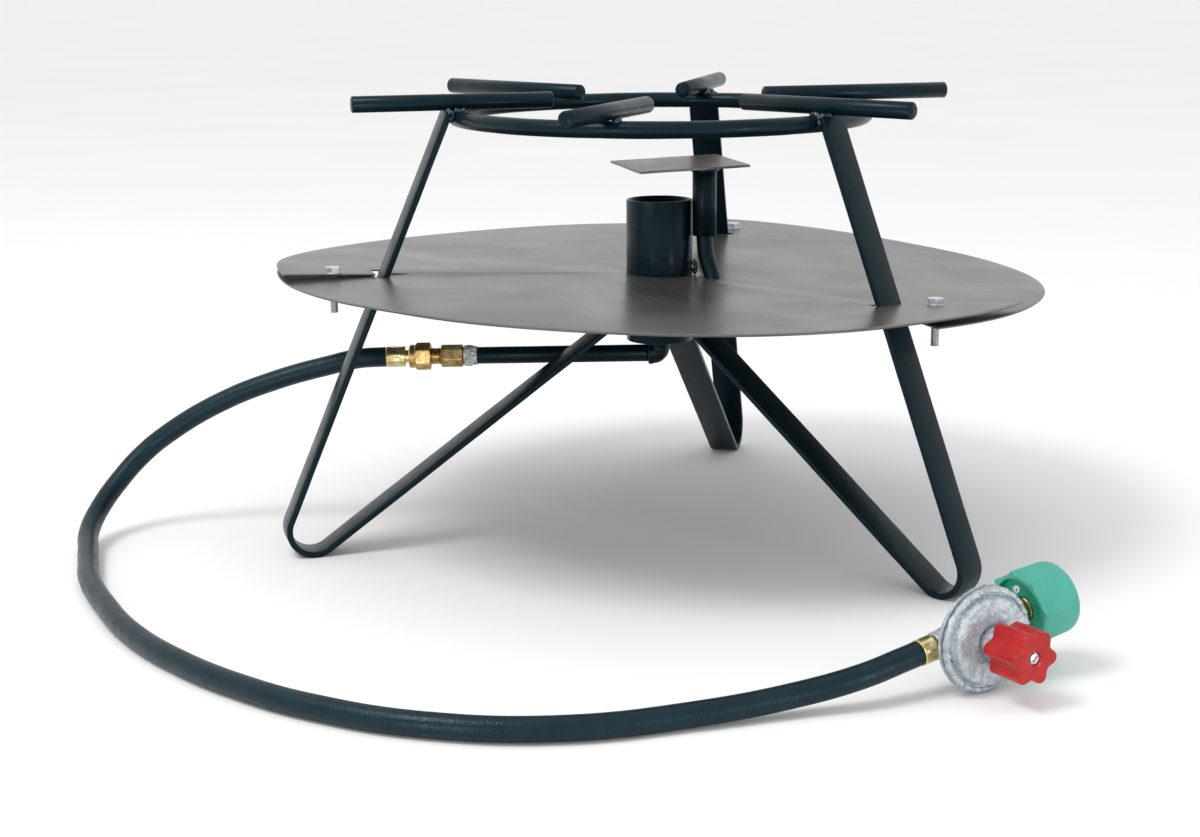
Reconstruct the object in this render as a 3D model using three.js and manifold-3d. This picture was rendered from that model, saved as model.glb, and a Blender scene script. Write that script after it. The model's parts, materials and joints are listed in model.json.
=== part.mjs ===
// Propane burner stand: a welded bar-and-rod pot stand around a jet burner tube, with a slit heat
// shield, a swivelling flame spreader, and a hose with an adjustable cylinder regulator.
// Millimetres, +Z up. The origin is on the ground under the burner tube's axis.

import * as THREE from "three";
import { mergeVertices } from "three/addons/utils/BufferGeometryUtils.js";
import Module from "manifold-3d";

const wasm = await Module();
wasm.setup();

// ---- Driving dimensions -------------------------------------------------------------------

const GAP = 0.3; // between pieces that touch
const deg = Math.PI / 180;

const ROD = 12.7; // round bar of the pot rests, the ring and the spreader's post
const BAR = { width: 25.4, thickness: 4.76 }; // flat bar of the legs
const BEND_STEP = 13 * deg; // facet of the legs' round bends; one facet lies flat on the ground
const FIRST_LEG = 197.3 * deg;
const LEG_STEP = 120 * deg;

const RING = { radius: 160.5, z: 335.5 };
const REST = { inner: 87, outer: 243.5, z: RING.z + ROD + GAP, skew: -7.5 * deg, sides: 16 };

const TUBE = { radius: 26.25, wall: 3, bottom: 155.5, top: 268.3 };
const LEG = {
  top: { r: 170.4, z: 340.8 },
  bend: { r: 284.4, radius: 19.1 },
  hub: { r: TUBE.radius + GAP, z: 180.6 },
};

const SHIELD = {
  radius: 302, thickness: 1.2, z: 208.6, dish: 4.7, tiltX: -0.0286, tiltY: 0.0036,
  bore: TUBE.radius + 0.6,
  cut: { inner: 203, half: 0.12 * deg }, // each slit starts here, inside its leg
  slot: { inner: 219, outer: 232, half: 4.1 * deg }, // and widens to let the leg through
  lip: { rise: 2.8, start: 0.95, fade: 38 * deg, under: 8 * deg },
  droop: [0, 4.4, 9], // how far the rim hangs midway along each sector
};
// How far each upper lip runs on past its leg at the rim, and where its bolt stands.
const SLITS = [
  { name: "left", over: 3.6 * deg, bolt: { r: 262, turn: 0.7 * deg } },
  { name: "front", over: 14 * deg, bolt: { r: 252, turn: 5.4 * deg } },
  { name: "rear", over: 8 * deg, bolt: { r: 256, turn: -2.6 * deg } },
];
const BOLT = { shank: 3.1, length: 31, across: 11.1, head: 4.2, nut: 4.4, hole: 3.6 };

const POST = { x: 35.5, y: -9, top: 293.6 };
const SLEEVE = { outer: 9.5, inner: 6.75, bottom: 240.3, top: 293.7 };
const PLATE = {
  length: 88.9, width: 86, thickness: 2, x: 15.7, y: 2, z: 295.8, turn: 16.8 * deg,
  tiltX: 0.027, tiltY: 0.018,
};

const GAS = { y: 1, z: 144.2, sag: 0.8 * deg }; // the gas line runs along -X and sags a little
const PIPE = { radius: 6.85, bore: 4.6, from: -166, to: -3 };
const HOSE_RADIUS = 8;

const REGULATOR = { x: 204.5, y: -397.5, z: 35, radius: 34.6, knobAzimuth: -57.7 * deg, roll: 9.8 * deg };
const PORT_Z = -15; // the regulator's inlet and outlet lie this far behind its diaphragm
const NUT = {
  near: 42.5, web: 47, webEnd: 50, far: 75, radius: 24.5, wall: 3,
  rib: 1.6, ribs: 8, ribEnd: 69, turn: -8.75 * deg,
};
const KNOB = { back: 19.6, front: 47.6, radius: 15.9, lobe: 2.2, lobes: 6, turn: -16 * deg };

// ---- Materials ----------------------------------------------------------------------------

const finish = (color, roughness, metalness) => ({ color, roughness, metalness });
const BLACK_PAINT = finish(0x14191b, 0.35, 0.2);
const SHIELD_PAINT = finish(0x191d1e, 0.4, 0.2);
const ZINC_PLATE = finish(0xb9bec2, 0.3, 1);
const BRASS = finish(0xc79a4b, 0.3, 1);
const SEAL_WHITE = finish(0xcfd3d2, 0.7, 0);
const RUBBER = finish(0x17191a, 0.6, 0);
const CAST_ZINC = finish(0x9ba1a6, 0.45, 0.9);
const SPRING_STEEL = finish(0x8d9195, 0.3, 1);
const RED_PLASTIC = finish(0xc6221c, 0.35, 0);
const GREEN_PLASTIC = finish(0x4fc2a5, 0.4, 0);

// ---- Geometry helpers ---------------------------------------------------------------------

/** A closed BufferGeometry as a Manifold solid. */
function solid(geometry) {
  const bare = geometry.clone();
  bare.deleteAttribute("normal");
  bare.deleteAttribute("uv");
  const merged = mergeVertices(bare, 1e-4);
  return new wasm.Manifold(new wasm.Mesh({
    numProp: 3,
    vertProperties: new Float32Array(merged.attributes.position.array),
    triVerts: new Uint32Array(merged.index.array),
  }));
}

/** A Manifold solid as a BufferGeometry. */
function geometryOf(manifold) {
  const mesh = manifold.getMesh();
  const geometry = new THREE.BufferGeometry();
  geometry.setAttribute("position", new THREE.BufferAttribute(mesh.vertProperties, mesh.numProp));
  geometry.setIndex(new THREE.BufferAttribute(mesh.triVerts, 1));
  geometry.computeVertexNormals();
  return geometry;
}

/** Joins the first list of geometries and cuts the second list out of them. */
function carve(add, cut = []) {
  const body = add.map(solid).reduce((whole, next) => whole.add(next));
  return geometryOf(cut.map(solid).reduce((whole, next) => whole.subtract(next), body));
}

/** A regular outline with the given number of sides, flats or corners on the X axis. */
function outline(radius, sides) {
  const points = [];
  for (let i = 0; i < sides; i++) {
    const angle = (2 * Math.PI * i) / sides;
    points.push(new THREE.Vector2(radius * Math.cos(angle), radius * Math.sin(angle)));
  }
  return new THREE.Shape(points);
}

/** A round bar swept along a curve. */
function sweep(curve, radius, sides, steps) {
  return new THREE.ExtrudeGeometry(outline(radius, sides), { steps, extrudePath: curve });
}

/** Turns a profile of [radius, height] pairs about Z. */
function turned(profile, segments = 32) {
  return new THREE.LatheGeometry(profile.map(([r, z]) => new THREE.Vector2(r, z)), segments)
    .rotateX(Math.PI / 2);
}

/** A tube about Z between two heights. */
function ringTube(outer, inner, low, high, segments = 32) {
  return turned([[inner, low], [outer, low], [outer, high], [inner, high], [inner, low]], segments);
}

/** A solid round bar about Z between two heights. */
function roundBar(radius, low, high, segments = 24) {
  return new THREE.CylinderGeometry(radius, radius, high - low, segments)
    .rotateX(Math.PI / 2).translate(0, 0, (low + high) / 2);
}

/** A hexagonal prism about Z between two heights, sized across its flats. */
function hexBar(across, low, high) {
  return new THREE.CylinderGeometry(across / Math.sqrt(3), across / Math.sqrt(3), high - low, 6)
    .rotateX(Math.PI / 2).translate(0, 0, (low + high) / 2);
}

const alongX = (geometry) => geometry.rotateY(Math.PI / 2); // +Z turns to +X

/** A point at a radius, an azimuth and a height. */
function polar(r, azimuth, z) {
  return new THREE.Vector3(r * Math.cos(azimuth), r * Math.sin(azimuth), z);
}

// ---- Assembly -----------------------------------------------------------------------------

const stand = new THREE.Group();

function place(name, geometry, look, parent = stand) {
  const mesh = new THREE.Mesh(geometry, new THREE.MeshStandardMaterial(look));
  mesh.name = name;
  parent.add(mesh);
  return mesh;
}

// ---- Pot stand: ring, six rests and three legs ----------------------------------------------

place("top_ring", new THREE.TorusGeometry(RING.radius, ROD / 2, 12, 72), BLACK_PAINT)
  .position.set(0, 0, RING.z);

function potRest(index) {
  const azimuth = FIRST_LEG + (index * LEG_STEP) / 2;
  const middle = (REST.inner + REST.outer) / 2;
  const rest = place(`pot_rest_${index + 1}`,
    new THREE.CylinderGeometry(ROD / 2, ROD / 2, REST.outer - REST.inner, REST.sides)
      .rotateY(Math.PI / REST.sides).rotateZ(Math.PI / 2), BLACK_PAINT);
  rest.position.copy(polar(middle, azimuth, REST.z));
  rest.rotation.z = azimuth + (index === 1 ? REST.skew : 0);
}
for (let i = 0; i < 6; i++) potRest(i);

/** The bar's outline in the leg's own plane: radius across, height up. */
function legOutline() {
  const { top, bend, hub } = LEG;
  const half = BAR.thickness / 2;
  const centre = new THREE.Vector2(bend.r, (bend.radius + half) * Math.cos(BEND_STEP / 2));
  // Angle at the bend's centre of the point where a line from `from` touches the bend.
  const touch = (from, side) => {
    const away = new THREE.Vector2(from.r - centre.x, from.z - centre.y);
    return Math.atan2(away.y, away.x) + side * Math.acos(bend.radius / away.length());
  };
  const start = touch(top, -1);
  const end = touch(hub, 1) - 2 * Math.PI;
  const side = (offset) => {
    const radius = bend.radius + offset;
    const foot = -Math.PI / 2;
    const out = new THREE.Vector2(Math.cos(start), Math.sin(start));
    const points = [new THREE.Vector2(top.r + out.x * offset, top.z + out.y * offset)];
    const bendPoint = (angle) => points.push(new THREE.Vector2(
      centre.x + radius * Math.cos(angle), centre.y + radius * Math.sin(angle)));
    const before = Math.floor((start - foot) / BEND_STEP - 0.6);
    bendPoint(start);
    for (let angle = foot + (before + 0.5) * BEND_STEP; angle > end + BEND_STEP / 4; angle -= BEND_STEP) {
      bendPoint(angle);
    }
    bendPoint(end);
    const last = points[points.length - 1];
    const slope = -Math.cos(end) / Math.sin(end);
    points.push(new THREE.Vector2(hub.r, last.y + slope * (hub.r - last.x)));
    return points;
  };
  return new THREE.Shape([...side(half), ...side(-half).reverse()]);
}

SLITS.forEach(({ name }, i) => {
  const leg = place(`leg_${name}`,
    new THREE.ExtrudeGeometry(legOutline(), { depth: BAR.width, bevelEnabled: false })
      .rotateX(Math.PI / 2).translate(0, BAR.width / 2, 0), BLACK_PAINT);
  leg.rotation.z = FIRST_LEG + i * LEG_STEP;
});

// ---- Burner tube, spreader post and flame spreader -------------------------------------------

place("burner_tube", ringTube(TUBE.radius, TUBE.radius - TUBE.wall, TUBE.bottom, TUBE.top, 40),
  BLACK_PAINT);

const postCurve = new THREE.CatmullRomCurve3([
  new THREE.Vector3(POST.x, POST.y, POST.top),
  new THREE.Vector3(POST.x, POST.y, 270),
  new THREE.Vector3(POST.x, POST.y, 246),
  new THREE.Vector3(POST.x + 0.6, POST.y - 1, 229),
  new THREE.Vector3(POST.x + 6, POST.y - 10, 210),
  new THREE.Vector3(POST.x + 10, POST.y - 22, 188),
  new THREE.Vector3(POST.x + 13, POST.y - 31, 170),
]);
place("spreader_post", sweep(postCurve, ROD / 2, 12, 24), BLACK_PAINT);

place("spreader_sleeve", ringTube(SLEEVE.outer, SLEEVE.inner, SLEEVE.bottom, SLEEVE.top, 24),
  BLACK_PAINT).position.set(POST.x, POST.y, 0);

const plate = place("spreader_plate",
  new THREE.BoxGeometry(PLATE.length, PLATE.width, PLATE.thickness).rotateZ(PLATE.turn), BLACK_PAINT);
plate.position.set(PLATE.x, PLATE.y, PLATE.z);
plate.rotation.set(Math.atan(PLATE.tiltY), -Math.atan(PLATE.tiltX), 0);

// ---- Heat shield --------------------------------------------------------------------------

const fade = (t) => 1 - THREE.MathUtils.smoothstep(t, 0, 1);

/** How far a slit's lip stands off the plain sheet at radius r. */
function lipRise(r) {
  const { cut, slot, lip } = SHIELD;
  if (r <= cut.inner) return 0;
  if (r <= slot.outer) return (lip.start * (r - cut.inner)) / (slot.outer - cut.inner);
  return lip.start + ((lip.rise - lip.start) * (r - slot.outer)) / (SHIELD.radius - slot.outer);
}

/** How far a lip reaches past its slit at radius r, as a share of its reach at the rim. */
const lipReach = (r) => 0.5 + (0.5 * (r - SHIELD.slot.outer)) / (SHIELD.radius - SHIELD.slot.outer);

const sheetHeight = (p) => SHIELD.z + (SHIELD.dish * Math.hypot(p.x, p.y)) / SHIELD.radius
  + SHIELD.tiltX * p.x + SHIELD.tiltY * p.y;

function shieldGeometry() {
  const { cut, slot, lip } = SHIELD;
  const radii = [SHIELD.bore, 75, 130, 170, cut.inner, slot.inner, slot.outer, 255, 279, SHIELD.radius];
  const across = 14; // columns between a sector's two slot edges
  const positions = [];
  const ids = new Map();
  // One sheet vertex; the two lips of a slit share theirs up to where it starts.
  const vertex = (sector, column, row) => {
    const r = radii[row];
    const last = across + 2;
    const joined = r <= cut.inner && column === last;
    const key = joined ? `${(sector + 1) % 3},0,${row}` : `${sector},${column},${row}`;
    if (ids.has(key)) return ids.get(key);
    const reach = r < slot.outer ? 0 : lipReach(r);
    const parting = r === slot.inner ? cut.half : 0;
    let turn = slot.half + ((LEG_STEP - 2 * slot.half) * (column - 1)) / across;
    if (column === 0) turn = parting - lip.under * reach;
    if (column === last) turn = LEG_STEP - parting + SLITS[(sector + 1) % 3].over * reach;
    const p = polar(r, FIRST_LEG + sector * LEG_STEP + turn, 0);
    const rise = lipRise(r) * (fade((LEG_STEP - turn) / lip.fade) - fade(turn / lip.fade));
    const along = Math.PI * THREE.MathUtils.clamp(turn / LEG_STEP, 0, 1);
    const sag = SHIELD.droop[sector] * Math.sin(along) ** 1.5 * (r / SHIELD.radius) ** 2;
    const z = sheetHeight(p) + rise - sag;
    const half = SHIELD.thickness / 2;
    positions.push(p.x, p.y, z + half, p.x, p.y, z - half);
    ids.set(key, positions.length / 3 - 2);
    return ids.get(key);
  };
  const cells = [];
  for (let sector = 0; sector < 3; sector++) {
    for (let column = 0; column < across + 2; column++) {
      for (let row = 0; row < radii.length - 1; row++) {
        const edge = column === 0 || column === across + 1;
        if (edge && radii[row] === slot.inner) continue;
        cells.push([vertex(sector, column, row), vertex(sector, column, row + 1),
          vertex(sector, column + 1, row + 1), vertex(sector, column + 1, row)]);
      }
    }
  }
  const index = [];
  const quad = (a, b, c, d) => index.push(a, b, c, a, c, d);
  const edges = new Set();
  for (const [a, b, c, d] of cells) {
    quad(a, b, c, d);
    quad(d + 1, c + 1, b + 1, a + 1);
    for (const [from, to] of [[a, b], [b, c], [c, d], [d, a]]) edges.add(`${from},${to}`);
  }
  for (const edge of edges) {
    const [from, to] = edge.split(",").map(Number);
    if (!edges.has(`${to},${from}`)) quad(from, from + 1, to + 1, to);
  }
  const geometry = new THREE.BufferGeometry();
  geometry.setAttribute("position", new THREE.Float32BufferAttribute(positions, 3));
  geometry.setIndex(index);
  return geometry;
}

const bolts = SLITS.map(({ name, bolt }, i) => ({
  name, at: polar(bolt.r, FIRST_LEG + i * LEG_STEP + bolt.turn, 0), rise: lipRise(bolt.r),
}));
const boltHoles = bolts.map(({ at }) => roundBar(BOLT.hole, 180, 240, 16).translate(at.x, at.y, 0));
place("heat_shield",
  carve([shieldGeometry()], [...boltHoles, sweep(postCurve, ROD / 2 + 1.2, 16, 24)]), SHIELD_PAINT);

for (const { name, at, rise } of bolts) {
  const lap = rise + SHIELD.thickness / 2 + 0.5; // clear of the sheet's slope under the head
  const middle = sheetHeight(at);
  place(`shield_bolt_${name}`, carve([
    roundBar(BOLT.shank, middle + lap - BOLT.length, middle + lap + 1, 12),
    hexBar(BOLT.across, middle + lap, middle + lap + BOLT.head),
  ]), ZINC_PLATE).position.set(at.x, at.y, 0);
  place(`shield_nut_${name}`, carve(
    [hexBar(BOLT.across, middle - lap - BOLT.nut, middle - lap)],
    [roundBar(BOLT.shank + GAP, middle - 30, middle + 30, 12)],
  ), ZINC_PLATE).position.set(at.x, at.y, 0);
}

// ---- Gas line: pipe, elbow, jet and brass fittings --------------------------------------------

const gasLine = new THREE.Group();
gasLine.position.set(0, GAS.y, GAS.z);
gasLine.rotation.y = -GAS.sag;
stand.add(gasLine);

place("gas_pipe", alongX(ringTube(PIPE.radius, PIPE.bore, PIPE.from, PIPE.to, 20)), BLACK_PAINT, gasLine);

place("pipe_elbow", carve(
  [
    alongX(roundBar(8.2, -5, 1, 20)), new THREE.SphereGeometry(8.2, 20, 12),
    roundBar(8.2, 0, 12, 20), alongX(roundBar(9, -9, -3, 20)), roundBar(9, 7, 13, 20),
  ],
  [
    alongX(roundBar(PIPE.radius + GAP, -12, -3 + GAP, 20)), alongX(roundBar(PIPE.bore, -4, 0, 16)),
    roundBar(5.4, -0.5, 20, 16),
  ],
), BLACK_PAINT, gasLine);

place("gas_jet", carve(
  [roundBar(5.1, 8, 14, 16), hexBar(11, 13.3, 18), turned([[0, 17.5], [4.2, 17.5], [2.4, 25], [0, 25]], 16)],
  [roundBar(2.6, 0, 20, 12), roundBar(0.8, 19, 30, 8)],
), BRASS, gasLine);

place("thread_seal", alongX(ringTube(8.5, PIPE.radius + GAP, -158.2, -147, 20)), SEAL_WHITE, gasLine);

place("hose_adapter", carve(
  [
    alongX(hexBar(16, -176.3, -158.5)), alongX(roundBar(6.8, -190, -176, 20)),
    alongX(turned([[0, -193.2], [3.6, -193.2], [6.8, -190], [6.8, -189], [0, -189]], 20)),
  ],
  [alongX(roundBar(PIPE.radius + GAP, -167, -150, 20)), alongX(roundBar(3.2, -200, -160, 12))],
), BRASS, gasLine);

place("flare_nut", carve(
  [alongX(hexBar(19.5, -196.7, -184.4)), alongX(roundBar(9.4, -202.2, -196, 24))],
  [alongX(roundBar(7.2, -196, -180, 24)), alongX(roundBar(5.6, -205, -190, 20))],
), BRASS, gasLine);

place("hose_stem", alongX(turned([
  [3.2, -218], [8.4, -220.3], [8.4, -205], [5.2, -204.6], [5.2, -196.2], [6.9, -195.2],
  [6.9, -190.6], [3.4, -194], [3.2, -218],
], 24)), BRASS, gasLine);

// ---- Regulator: its own Z is the knob's axis, its own X the gas inlet --------------------------

const regulator = new THREE.Group();
{
  const z = polar(1, REGULATOR.knobAzimuth, 0);
  const level = polar(1, REGULATOR.knobAzimuth + Math.PI / 2, 0);
  const x = level.multiplyScalar(Math.cos(REGULATOR.roll)).setZ(Math.sin(REGULATOR.roll));
  const y = new THREE.Vector3().crossVectors(z, x);
  regulator.setRotationFromMatrix(new THREE.Matrix4().makeBasis(x, y, z));
  regulator.position.set(REGULATOR.x, REGULATOR.y, REGULATOR.z);
}
stand.add(regulator);

/** A turned or straight piece on the port axis: its Z becomes the regulator's X. */
const onPort = (geometry) => alongX(geometry).translate(0, 0, PORT_Z);

place("regulator_body", carve(
  [
    turned([
      [0, -24], [14, -24], [18, -21.5], [23, -12], [27, -4.6], [REGULATOR.radius, -3.4],
      [REGULATOR.radius, -0.8], [0, -0.8],
    ], 40),
    onPort(roundBar(9, -28, -12, 20)), onPort(roundBar(11, 12, 34, 20)),
  ],
  [
    turned([[0, -6], [21, -6], [24, 1], [0, 1]], 32), turned([[0, -19], [12, -19], [14, -5], [0, -5]], 24),
    onPort(roundBar(4, -30, -8, 12)), onPort(roundBar(5, 8, 36, 12)),
  ],
), CAST_ZINC, regulator);

place("diaphragm", turned([[0, -0.5], [33, -0.5], [33, 0.5], [0, 0.5]], 32), RUBBER, regulator);

place("regulator_bonnet", turned([
  [26, 0.8], [REGULATOR.radius, 0.8], [REGULATOR.radius, 3.6], [32, 5], [30.5, 4.2], [28.5, 5.2],
  [28, 8.6], [26.6, 9.6], [13.4, 10.2], [13, 8.4], [11.6, 8.4], [11.2, 23.5], [10.4, 24.4], [4.4, 24.4],
  [4.4, 18.5], [9.3, 18.5], [9.3, 6.2], [25, 6], [26, 0.8],
], 40), CAST_ZINC, regulator);

const springTurns = 4;
class Helix extends THREE.Curve {
  getPoint(t, target = new THREE.Vector3()) {
    const angle = 2 * Math.PI * springTurns * t;
    return target.set(7 * Math.cos(angle), 7 * Math.sin(angle), 1.8 + 6.8 * t);
  }
}
place("pressure_spring", sweep(new Helix(), 0.75, 6, 14 * springTurns), SPRING_STEEL, regulator);

place("spring_button", roundBar(8.6, 14, 16.2, 20), ZINC_PLATE, regulator);

place("adjusting_screw", roundBar(4, 16.5, KNOB.front - 2.4, 16), ZINC_PLATE, regulator);

function knobOutline() {
  const points = [];
  const count = KNOB.lobes * 8;
  for (let i = 0; i < count; i++) {
    const angle = (2 * Math.PI * i) / count;
    const r = KNOB.radius + KNOB.lobe * Math.cos(KNOB.lobes * (angle - KNOB.turn));
    points.push(new THREE.Vector2(r * Math.cos(angle), r * Math.sin(angle)));
  }
  return new THREE.Shape(points);
}
place("knob", carve(
  [new THREE.ExtrudeGeometry(knobOutline(), {
    depth: KNOB.front - KNOB.back, bevelEnabled: false,
  }).translate(0, 0, KNOB.back)],
  [
    roundBar(12.2, KNOB.back - 1, 31, 24), roundBar(4 + GAP, 30, KNOB.front + 1, 16),
    roundBar(3.8, KNOB.front - 2, KNOB.front + 1, 16),
  ],
), RED_PLASTIC, regulator);

place("knob_screw", roundBar(3.4, KNOB.front - 1.8, KNOB.front - 0.4, 16), ZINC_PLATE, regulator);

// ---- Cylinder connection on the regulator's inlet ----------------------------------------------

function nutOutline() {
  const points = [];
  const count = NUT.ribs * 8;
  for (let i = 0; i < count; i++) {
    const angle = NUT.turn + (2 * Math.PI * i) / count;
    const rib = NUT.rib * Math.max(0, Math.cos(NUT.ribs * (angle - NUT.turn))) ** 6;
    points.push(new THREE.Vector2(NUT.radius + rib, 0).rotateAround(new THREE.Vector2(), angle));
  }
  return new THREE.Shape(points);
}
const nutInside = NUT.radius - NUT.wall;
place("coupling_nut", carve(
  [
    onPort(new THREE.ExtrudeGeometry(nutOutline(), {
      depth: NUT.ribEnd - NUT.near, bevelEnabled: false,
    }).translate(0, 0, NUT.near)),
    onPort(turned([
      [0, NUT.near + 1], [NUT.radius, NUT.near + 1], [NUT.radius, NUT.far - 2.5],
      [NUT.radius - 1.8, NUT.far], [0, NUT.far],
    ], 64)),
  ],
  [
    onPort(roundBar(nutInside, NUT.near - 1, NUT.web, 32)),
    onPort(roundBar(nutInside - 1, NUT.webEnd, NUT.far + 1, 32)),
    onPort(roundBar(8.3, NUT.web - 1, NUT.webEnd + 1, 24)),
  ],
), GREEN_PLASTIC, regulator);

place("inlet_nipple", onPort(turned([
  [3, 34.3], [7.9, 34.3], [7.9, 55.4], [11.5, 55.4], [11.5, 57.4], [7.6, 58], [7.6, 65], [5, 67], [3, 67],
  [3, 34.3],
], 24)), BRASS, regulator);

place("nipple_seal", onPort(ringTube(9.4, 7.9, 59, 64, 24)), RUBBER, regulator);

place("seal_wire", onPort(new THREE.TorusGeometry(13.2, 0.6, 6, 32).translate(0, 0, 36.8)), BRASS,
  regulator);

// ---- Hose ---------------------------------------------------------------------------------

place("outlet_ferrule", onPort(turned([
  [3.6, -41], [8.5, -41], [8.5, -30.4], [6.2, -30], [6.2, -28.3], [4.2, -28.3], [3.6, -30], [3.6, -41],
], 24)), BRASS, regulator);

// Route of the hose, from the burner's fitting down to the ground and round to the regulator.
const HOSE_ROUTE = [
  [-220.9, 1, 141.1], [-244, 1, 139.6], [-266, 1, 134.6], [-310, 0.5, 122.5], [-356, 0, 104.5],
  [-400, -3, 79], [-422, -8, 61.5], [-439, -22, 42.5], [-449, -45, 26.5], [-450.5, -74, 15.5],
  [-443, -107, 10.2], [-433.5, -143, 8.7], [-423, -180, 8.4], [-397, -240, 8.4], [-358, -312, 8.4],
  [-311, -372, 8.4], [-266, -415, 8.4], [-214, -452, 8.4], [-140, -483, 8.4], [-59, -489, 8.6],
  [22, -465, 9], [86, -441.5, 13.5], [125, -428.5, 20.4], [152.3, -412.7, 26], [162.1, -406.6, 28],
];
const hoseCurve = new THREE.CatmullRomCurve3(HOSE_ROUTE.map((p) => new THREE.Vector3(...p)));
place("hose", sweep(hoseCurve, HOSE_RADIUS, 10, 64), RUBBER);

export default stand;
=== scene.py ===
"""Looks for the propane burner stand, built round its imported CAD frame. Blender 4.5, metres, +Z up."""

import json
import math

import bmesh
import bpy
from mathutils import Matrix, Vector, noise


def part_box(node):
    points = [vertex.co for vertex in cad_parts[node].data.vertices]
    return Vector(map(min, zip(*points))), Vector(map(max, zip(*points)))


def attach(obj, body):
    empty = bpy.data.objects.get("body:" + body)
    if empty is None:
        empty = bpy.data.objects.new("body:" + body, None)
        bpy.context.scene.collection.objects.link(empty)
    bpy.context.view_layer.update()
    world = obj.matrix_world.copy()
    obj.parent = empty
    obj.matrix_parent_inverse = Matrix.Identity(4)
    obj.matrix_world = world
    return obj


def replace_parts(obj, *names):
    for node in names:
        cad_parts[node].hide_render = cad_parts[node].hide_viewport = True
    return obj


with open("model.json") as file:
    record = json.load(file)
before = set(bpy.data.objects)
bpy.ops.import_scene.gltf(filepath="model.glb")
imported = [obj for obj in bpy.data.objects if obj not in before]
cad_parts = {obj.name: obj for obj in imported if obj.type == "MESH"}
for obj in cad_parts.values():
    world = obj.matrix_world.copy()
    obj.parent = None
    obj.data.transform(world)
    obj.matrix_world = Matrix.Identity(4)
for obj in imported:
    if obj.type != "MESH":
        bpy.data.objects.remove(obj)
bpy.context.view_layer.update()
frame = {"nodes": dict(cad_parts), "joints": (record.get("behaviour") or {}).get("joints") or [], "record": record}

MM = 0.001
TAU = 2 * math.pi
JOINTS = {joint["name"]: joint for joint in frame["joints"]}


# ---- Camera -------------------------------------------------------------------------------------

def make_camera():
    """A camera low in front of the stand, a little to the left of square."""
    yaw, pitch, roll = (math.radians(a) for a in (-1.647, 12.355, -0.387))
    forward = Vector((math.sin(yaw) * math.cos(pitch), math.cos(yaw) * math.cos(pitch), -math.sin(pitch)))
    level = Vector((math.cos(yaw), -math.sin(yaw), 0))
    upright = level.cross(forward)
    right = level * math.cos(roll) + upright * math.sin(roll)
    up = upright * math.cos(roll) - level * math.sin(roll)
    camera = bpy.data.objects.new("camera", bpy.data.cameras.new("camera"))
    camera.data.sensor_width = 36
    camera.data.lens = 63.56
    camera.data.clip_end = 100
    camera.matrix_world = Matrix((right, up, -forward)).transposed().to_4x4()
    camera.location = (0, -1.6791, 0.458)
    bpy.context.collection.objects.link(camera)
    bpy.context.scene.camera = camera


make_camera()


# ---- Material helpers ---------------------------------------------------------------------------

class Look:
    """A Principled material with short calls for the nodes that vary it over the surface."""

    def __init__(self, name, **sockets):
        self.material = bpy.data.materials.new(name)
        self.material.use_nodes = True
        self.tree = self.material.node_tree
        self.shader = self.tree.nodes["Principled BSDF"]
        for socket, value in sockets.items():
            self.shader.inputs[socket.replace("_", " ")].default_value = value
        self.place = self.tree.nodes.new("ShaderNodeTexCoord").outputs["Object"]

    def link(self, source, target):
        self.tree.links.new(source, target)

    def noise(self, scale, detail=3.0, roughness=0.55, distortion=0.0, stretch=None):
        """Noise over the object's own space; scale is waves per metre, stretch scales each axis."""
        node = self.tree.nodes.new("ShaderNodeTexNoise")
        node.inputs["Scale"].default_value = scale
        node.inputs["Detail"].default_value = detail
        node.inputs["Roughness"].default_value = roughness
        node.inputs["Distortion"].default_value = distortion
        self.link(self.stretched(stretch), node.inputs["Vector"])
        return node.outputs["Fac"]

    def cells(self, scale):
        """Distance to the nearest of scattered points."""
        node = self.tree.nodes.new("ShaderNodeTexVoronoi")
        node.inputs["Scale"].default_value = scale
        self.link(self.place, node.inputs["Vector"])
        return node.outputs["Distance"]

    def stretched(self, stretch):
        """The object's own space, with each axis scaled where stretch is given."""
        if stretch is None:
            return self.place
        node = self.tree.nodes.new("ShaderNodeMapping")
        node.inputs["Scale"].default_value = stretch
        self.link(self.place, node.inputs["Vector"])
        return node.outputs["Vector"]

    def ramp(self, source, low, high, start=0.0, end=1.0):
        """Maps source from low..high to start..end, held at both ends."""
        node = self.tree.nodes.new("ShaderNodeMapRange")
        node.inputs["From Min"].default_value = low
        node.inputs["From Max"].default_value = high
        node.inputs["To Min"].default_value = start
        node.inputs["To Max"].default_value = end
        self.link(source, node.inputs["Value"])
        return node.outputs["Result"]

    def product(self, a, b):
        node = self.tree.nodes.new("ShaderNodeMath")
        node.operation = "MULTIPLY"
        self.link(a, node.inputs[0])
        self.link(b, node.inputs[1])
        return node.outputs[0]

    def blend(self, factor, a, b):
        """Mixes two colours, or an earlier blend and a colour, by a factor."""
        node = self.tree.nodes.new("ShaderNodeMix")
        node.data_type = "RGBA"
        self.link(factor, node.inputs["Factor"])
        for colour, socket in ((a, node.inputs[6]), (b, node.inputs[7])):
            if isinstance(colour, tuple):
                socket.default_value = (*colour, 1)
            else:
                self.link(colour, socket)
        return node.outputs[2]

    def colour(self, source):
        self.link(source, self.shader.inputs["Base Color"])
        return self

    def rough(self, source):
        self.link(source, self.shader.inputs["Roughness"])
        return self

    def bump(self, source, height, previous=None):
        """Adds relief of about the given height in metres."""
        node = self.tree.nodes.new("ShaderNodeBump")
        node.inputs["Strength"].default_value = 1
        node.inputs["Distance"].default_value = height
        self.link(source, node.inputs["Height"])
        if previous is not None:
            self.link(previous, node.inputs["Normal"])
        self.link(node.outputs["Normal"], self.shader.inputs["Normal"])
        return node.outputs["Normal"]


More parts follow.
